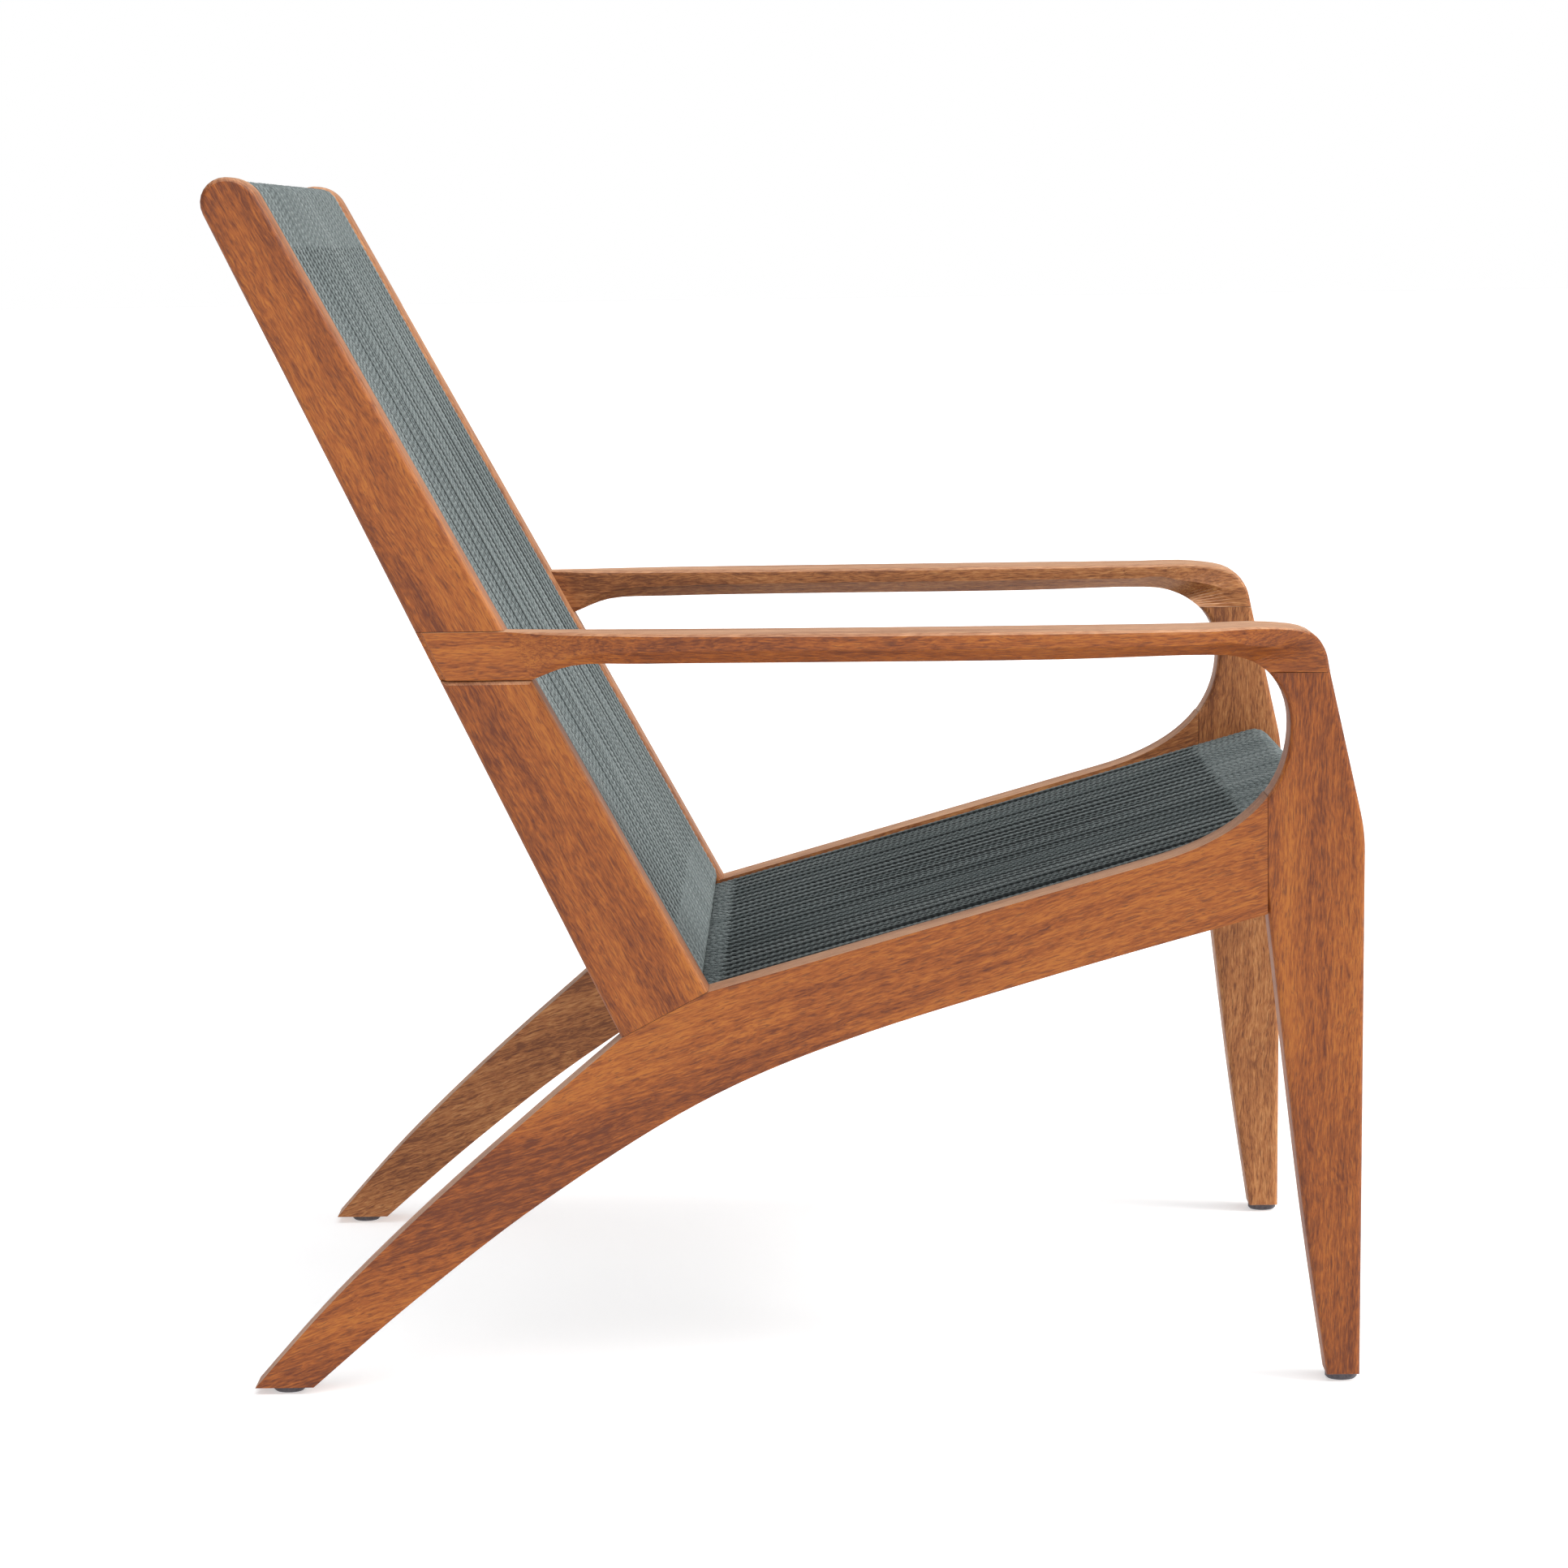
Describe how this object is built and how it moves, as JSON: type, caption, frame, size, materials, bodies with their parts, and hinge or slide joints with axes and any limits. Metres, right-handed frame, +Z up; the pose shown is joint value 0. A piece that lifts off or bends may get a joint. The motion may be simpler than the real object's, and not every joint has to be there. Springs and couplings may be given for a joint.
{
  "type": "lounge armchair",
  "caption": "Low lounge armchair: arched hardwood side frames, outward-bowed armrests, and a seat and leaning back of twisted cord wound around cross rails.",
  "frame": {"origin": "on the floor, under the middle of the chair's outer box", "axes": "+Z up, the chair faces -Y, +X towards the sitter's left"},
  "size_m": [0.702, 0.7757, 0.827],
  "materials": {
    "frame_wood": "reddish-brown tropical hardwood, satin oil, fine straight grain with short dark pores",
    "arm_wood": "the same hardwood, a little lighter, grain along the arm",
    "joint_wood": "plain beech dowels and loose tenons, hidden",
    "cord": "grey-green twisted cord, matt, three strands",
    "glide_plastic": "dark grey moulded plastic, matt",
    "nail_steel": "plain steel wire nail"
  },
  "bodies": {
    "root": {"right_back_stile": "frame_wood", "left_back_stile": "frame_wood", "right_side_rail": "frame_wood", "left_side_rail": "frame_wood", "right_front_leg": "frame_wood", "left_front_leg": "frame_wood", "right_armrest": "arm_wood", "left_armrest": "arm_wood", "crest_rail": "frame_wood", "lower_back_rail": "frame_wood", "rear_seat_rail": "frame_wood", "front_seat_rail": "frame_wood", "right_stile_dowel_1": "joint_wood", "left_stile_dowel_1": "joint_wood", "right_stile_dowel_2": "joint_wood", "left_stile_dowel_2": "joint_wood", "right_leg_dowel_1": "joint_wood", "left_leg_dowel_1": "joint_wood", "right_leg_dowel_2": "joint_wood", "left_leg_dowel_2": "joint_wood", "right_arm_dowel": "joint_wood", "left_arm_dowel": "joint_wood", "right_arm_lap_dowel": "joint_wood", "left_arm_lap_dowel": "joint_wood", "right_crest_rail_tenon": "joint_wood", "left_crest_rail_tenon": "joint_wood", "right_lower_back_rail_tenon": "joint_wood", "left_lower_back_rail_tenon": "joint_wood", "right_rear_seat_rail_tenon": "joint_wood", "left_rear_seat_rail_tenon": "joint_wood", "right_front_seat_rail_tenon": "joint_wood", "left_front_seat_rail_tenon": "joint_wood", "right_front_glide": "glide_plastic", "left_front_glide": "glide_plastic", "right_rear_glide": "glide_plastic", "left_rear_glide": "glide_plastic", "right_front_glide_nail": "nail_steel", "left_front_glide_nail": "nail_steel", "right_rear_glide_nail": "nail_steel", "left_rear_glide_nail": "nail_steel", "crest_rail_cord": "cord", "lower_back_rail_cord": "cord", "rear_seat_rail_cord": "cord", "front_seat_rail_cord": "cord", "back_cord_front": "cord", "back_cord_rear": "cord", "seat_cord_top": "cord", "seat_cord_under": "cord"}
  },
  "joints": []
}
